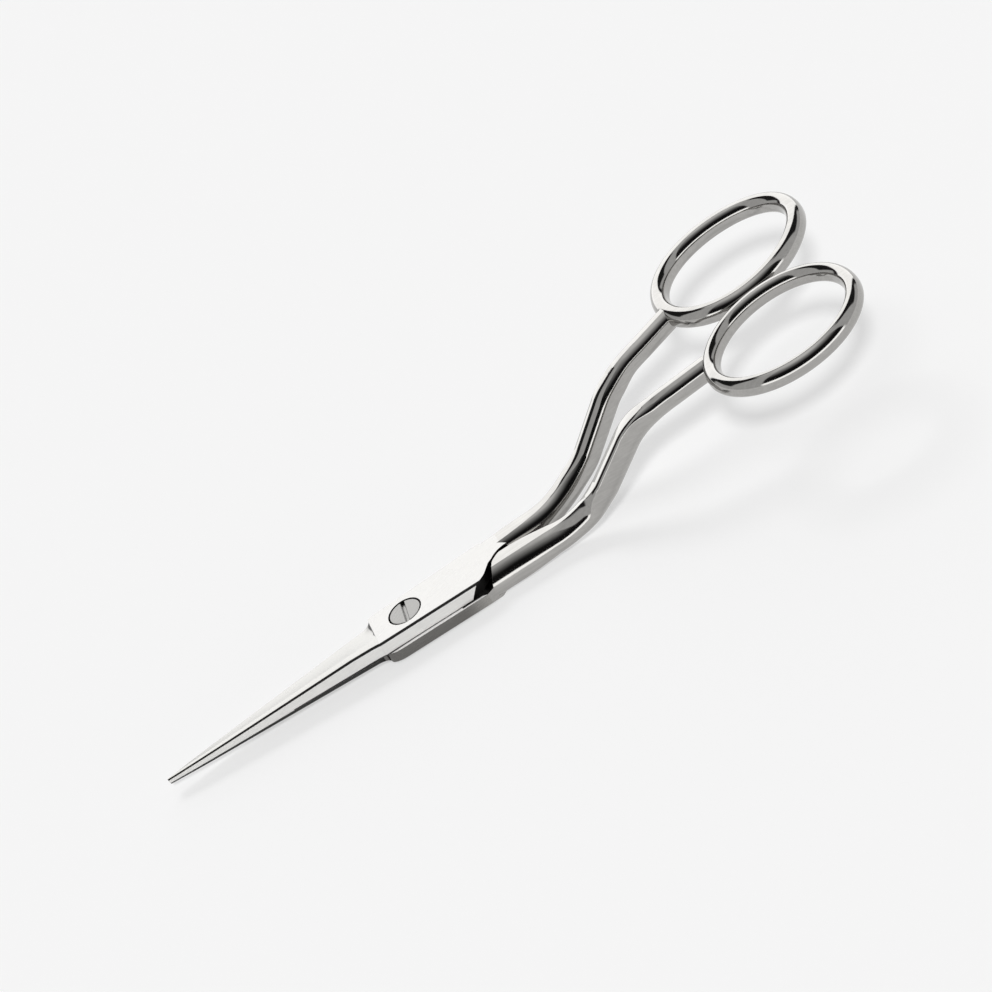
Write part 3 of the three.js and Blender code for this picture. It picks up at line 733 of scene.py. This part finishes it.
# Floor, in metres, partly glowing so that it keeps only a light shadow
FLOOR_SIZE = 3.0
FLOOR_TONE, FLOOR_GLOW = 0.45, 0.47
floor = new_object("floor", [(x, y, 0) for x, y in rectangle(FLOOR_SIZE, FLOOR_SIZE)], [(0, 1, 2, 3)])
paper = bpy.data.materials.new("pale_floor")
paper.use_nodes = True
n = Nodes(paper.node_tree)
diffuse = n.add("ShaderNodeBsdfDiffuse")
diffuse.inputs["Color"].default_value = (FLOOR_TONE, FLOOR_TONE, FLOOR_TONE, 1)
glow = n.add("ShaderNodeEmission")
ray = n.add("ShaderNodeLightPath").outputs
seen = n.math("ADD", ray["Is Camera Ray"], ray["Is Glossy Ray"])
seen = n.math("ADD", seen, ray["Is Transmission Ray"], clamp=True)
n.link(n.math("MULTIPLY", seen, FLOOR_GLOW), glow.inputs["Strength"])
both = n.add("ShaderNodeAddShader")
n.link(diffuse.outputs[0], both.inputs[0])
n.link(glow.outputs[0], both.inputs[1])
n.link(both.outputs[0], n.add("ShaderNodeOutputMaterial").inputs["Surface"])
floor.data.materials.append(paper)

# Studio: grey room that brightens overhead, a white softbox with a black rim behind the object, and a black
# card on the camera's side, which lets a bright strip of the room show above the floor. Angles are degrees,
# as pairs over which a part sets in: azimuths from the camera's side or from the card's middle, elevations
# of its lower and upper limits.
ROOM, SKY, SOFTBOX, CARD, STRIP, RIM = 0.66, 1.0, 2.05, 0.01, 2.2, 0.02
ZENITH = (60, 84)
BEHIND_RIM = {"across": (96, 100), "low": (14, 20), "high": (66, 61)}
LOW_RIM = {"across": (126, 131), "low": (-3, 0), "high": (66, 61)}
BEHIND_SOFTBOX = {"across": (136, 140), "low": (-1, 1), "high": (58, 54)}
FRONT_CARD = {"across": (58, 55), "low": (0, 1), "high": (78, 32)}
FRONT_STRIP = {"across": (60, 54), "low": (-1, 0), "high": (12, 10)}
CARD_AZIMUTH = 5.0
# The floor gets this share of the studio's light, and the lamps' light beside it
AMBIENT_SHARE = 0.52
world = bpy.data.worlds.new("studio")
bpy.context.scene.world = world
world.use_nodes = True
w = Nodes(world.node_tree)
split = w.add("ShaderNodeSeparateXYZ")
w.link(w.add("ShaderNodeTexCoord").outputs["Generated"], split.inputs[0])
sideways, ahead, height = split.outputs
elevation = w.math("MULTIPLY", w.math("ARCSINE", height), math.degrees(1))
azimuth = w.math("MULTIPLY", w.math("ARCTAN2", sideways, w.math("MULTIPLY", ahead, -1.0)), math.degrees(1))
turned_away = w.math("ABSOLUTE", azimuth)
from_card = w.math("ABSOLUTE", w.math("SUBTRACT", azimuth, CARD_AZIMUTH))


def over(light, angle, limits, level):
    """The light with a region of another level laid over it."""
    tall = w.math("MULTIPLY", w.ramp(elevation, *limits["low"]), w.ramp(elevation, *limits["high"]))
    mask = w.math("MULTIPLY", w.ramp(angle, *limits["across"]), tall)
    rest = w.math("MULTIPLY", light, w.math("SUBTRACT", 1.0, mask))
    return w.math("ADD", rest, w.math("MULTIPLY", mask, level))


light = w.ramp(elevation, *ZENITH, ROOM, SKY)
light = over(light, turned_away, BEHIND_RIM, RIM)
light = over(light, turned_away, LOW_RIM, RIM)
light = over(light, turned_away, BEHIND_SOFTBOX, SOFTBOX)
light = over(light, from_card, FRONT_CARD, CARD)
light = over(light, from_card, FRONT_STRIP, STRIP)
on_floor = w.add("ShaderNodeLightPath").outputs["Is Diffuse Ray"]
light = w.math("MULTIPLY", light, w.math("SUBTRACT", 1.0, w.math("MULTIPLY", on_floor, 1 - AMBIENT_SHARE)))
background = w.add("ShaderNodeBackground")
background.inputs["Color"].default_value = (1, 1, 1, 1)
w.link(light, background.inputs["Strength"])
w.link(background.outputs[0], w.add("ShaderNodeOutputWorld").inputs["Surface"])


def lamp(name, share, rays, size):
    """Distant lamp that gives a level floor this share of white; its size is an angle in degrees."""
    rays = rays.normalized()
    light = bpy.data.lights.new(name, "SUN")
    light.energy = share * math.pi / -rays.z
    light.angle = math.radians(size)
    made = bpy.data.objects.new(name, light)
    made.rotation_euler = rays.to_track_quat("-Z", "Y").to_euler()
    made.visible_glossy = False
    bpy.context.scene.collection.objects.link(made)


# The key lamp above the camera's side throws the bows' shadow back and to the right, and a softer one from
# behind throws the blades' and the joint's forwards
lamp("key", share=0.44, rays=Vector((-0.020, 0.742, -0.697)), size=7)
lamp("back", share=0.16, rays=Vector((0.109, -0.651, -0.750)), size=22)

# Camera, from the photograph's perspective: its place in millimetres from the pivot and the directions of the
# picture's right and up
CAMERA_PLACE = Vector((59.10, -703.17, 459.00))
CAMERA_RIGHT = Vector((0.83442, -0.26657, -0.48237))
CAMERA_UP = Vector((0.54968, 0.46600, 0.69332))
CAMERA_LENS, SENSOR_WIDTH = 166.55, 36
lens = bpy.data.cameras.new("camera")
lens.lens = CAMERA_LENS
lens.sensor_width = SENSOR_WIDTH
camera = bpy.data.objects.new("camera", lens)
columns = (CAMERA_RIGHT, CAMERA_UP, CAMERA_RIGHT.cross(CAMERA_UP))
turn = Matrix(columns).transposed().to_4x4()
camera.matrix_world = Matrix.Translation(CAMERA_PLACE * METRES_PER_MM + PIVOT) @ turn
bpy.context.scene.collection.objects.link(camera)
bpy.context.scene.camera = camera
bpy.context.scene.view_settings.view_transform = "Standard"
